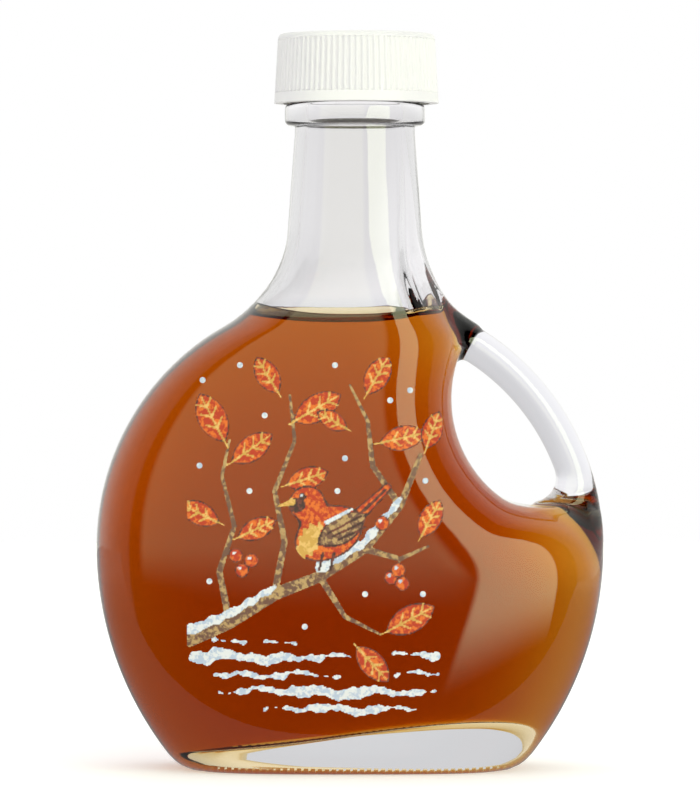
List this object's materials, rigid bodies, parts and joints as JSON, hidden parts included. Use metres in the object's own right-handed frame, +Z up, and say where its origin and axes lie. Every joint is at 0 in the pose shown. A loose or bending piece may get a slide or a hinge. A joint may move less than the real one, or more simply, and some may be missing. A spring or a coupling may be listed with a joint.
{
  "type": "syrup dispenser",
  "caption": "Flattened round glass flask of amber syrup with a loop handle beside its neck and a ribbed white screw cap.",
  "frame": {"origin": "middle of the base, on the surface that the flask stands on", "axes": "+Z up the neck, X across the flask with the handle at +X, and the printed front face looking along -Y"},
  "size_m": [0.103, 0.052, 0.1492],
  "materials": {
    "clear_glass": "clear moulded glass, smooth, with a stippled bearing edge",
    "amber_syrup": "clear amber syrup, darker and redder where it is deep",
    "white_plastic": "white moulded plastic, satin",
    "fired_enamel": "screen-printed enamel colours fired on the glass"
  },
  "bodies": {
    "root": {"glass_bottle": "clear_glass", "syrup": "amber_syrup", "screw_cap": "white_plastic"}
  },
  "joints": []
}
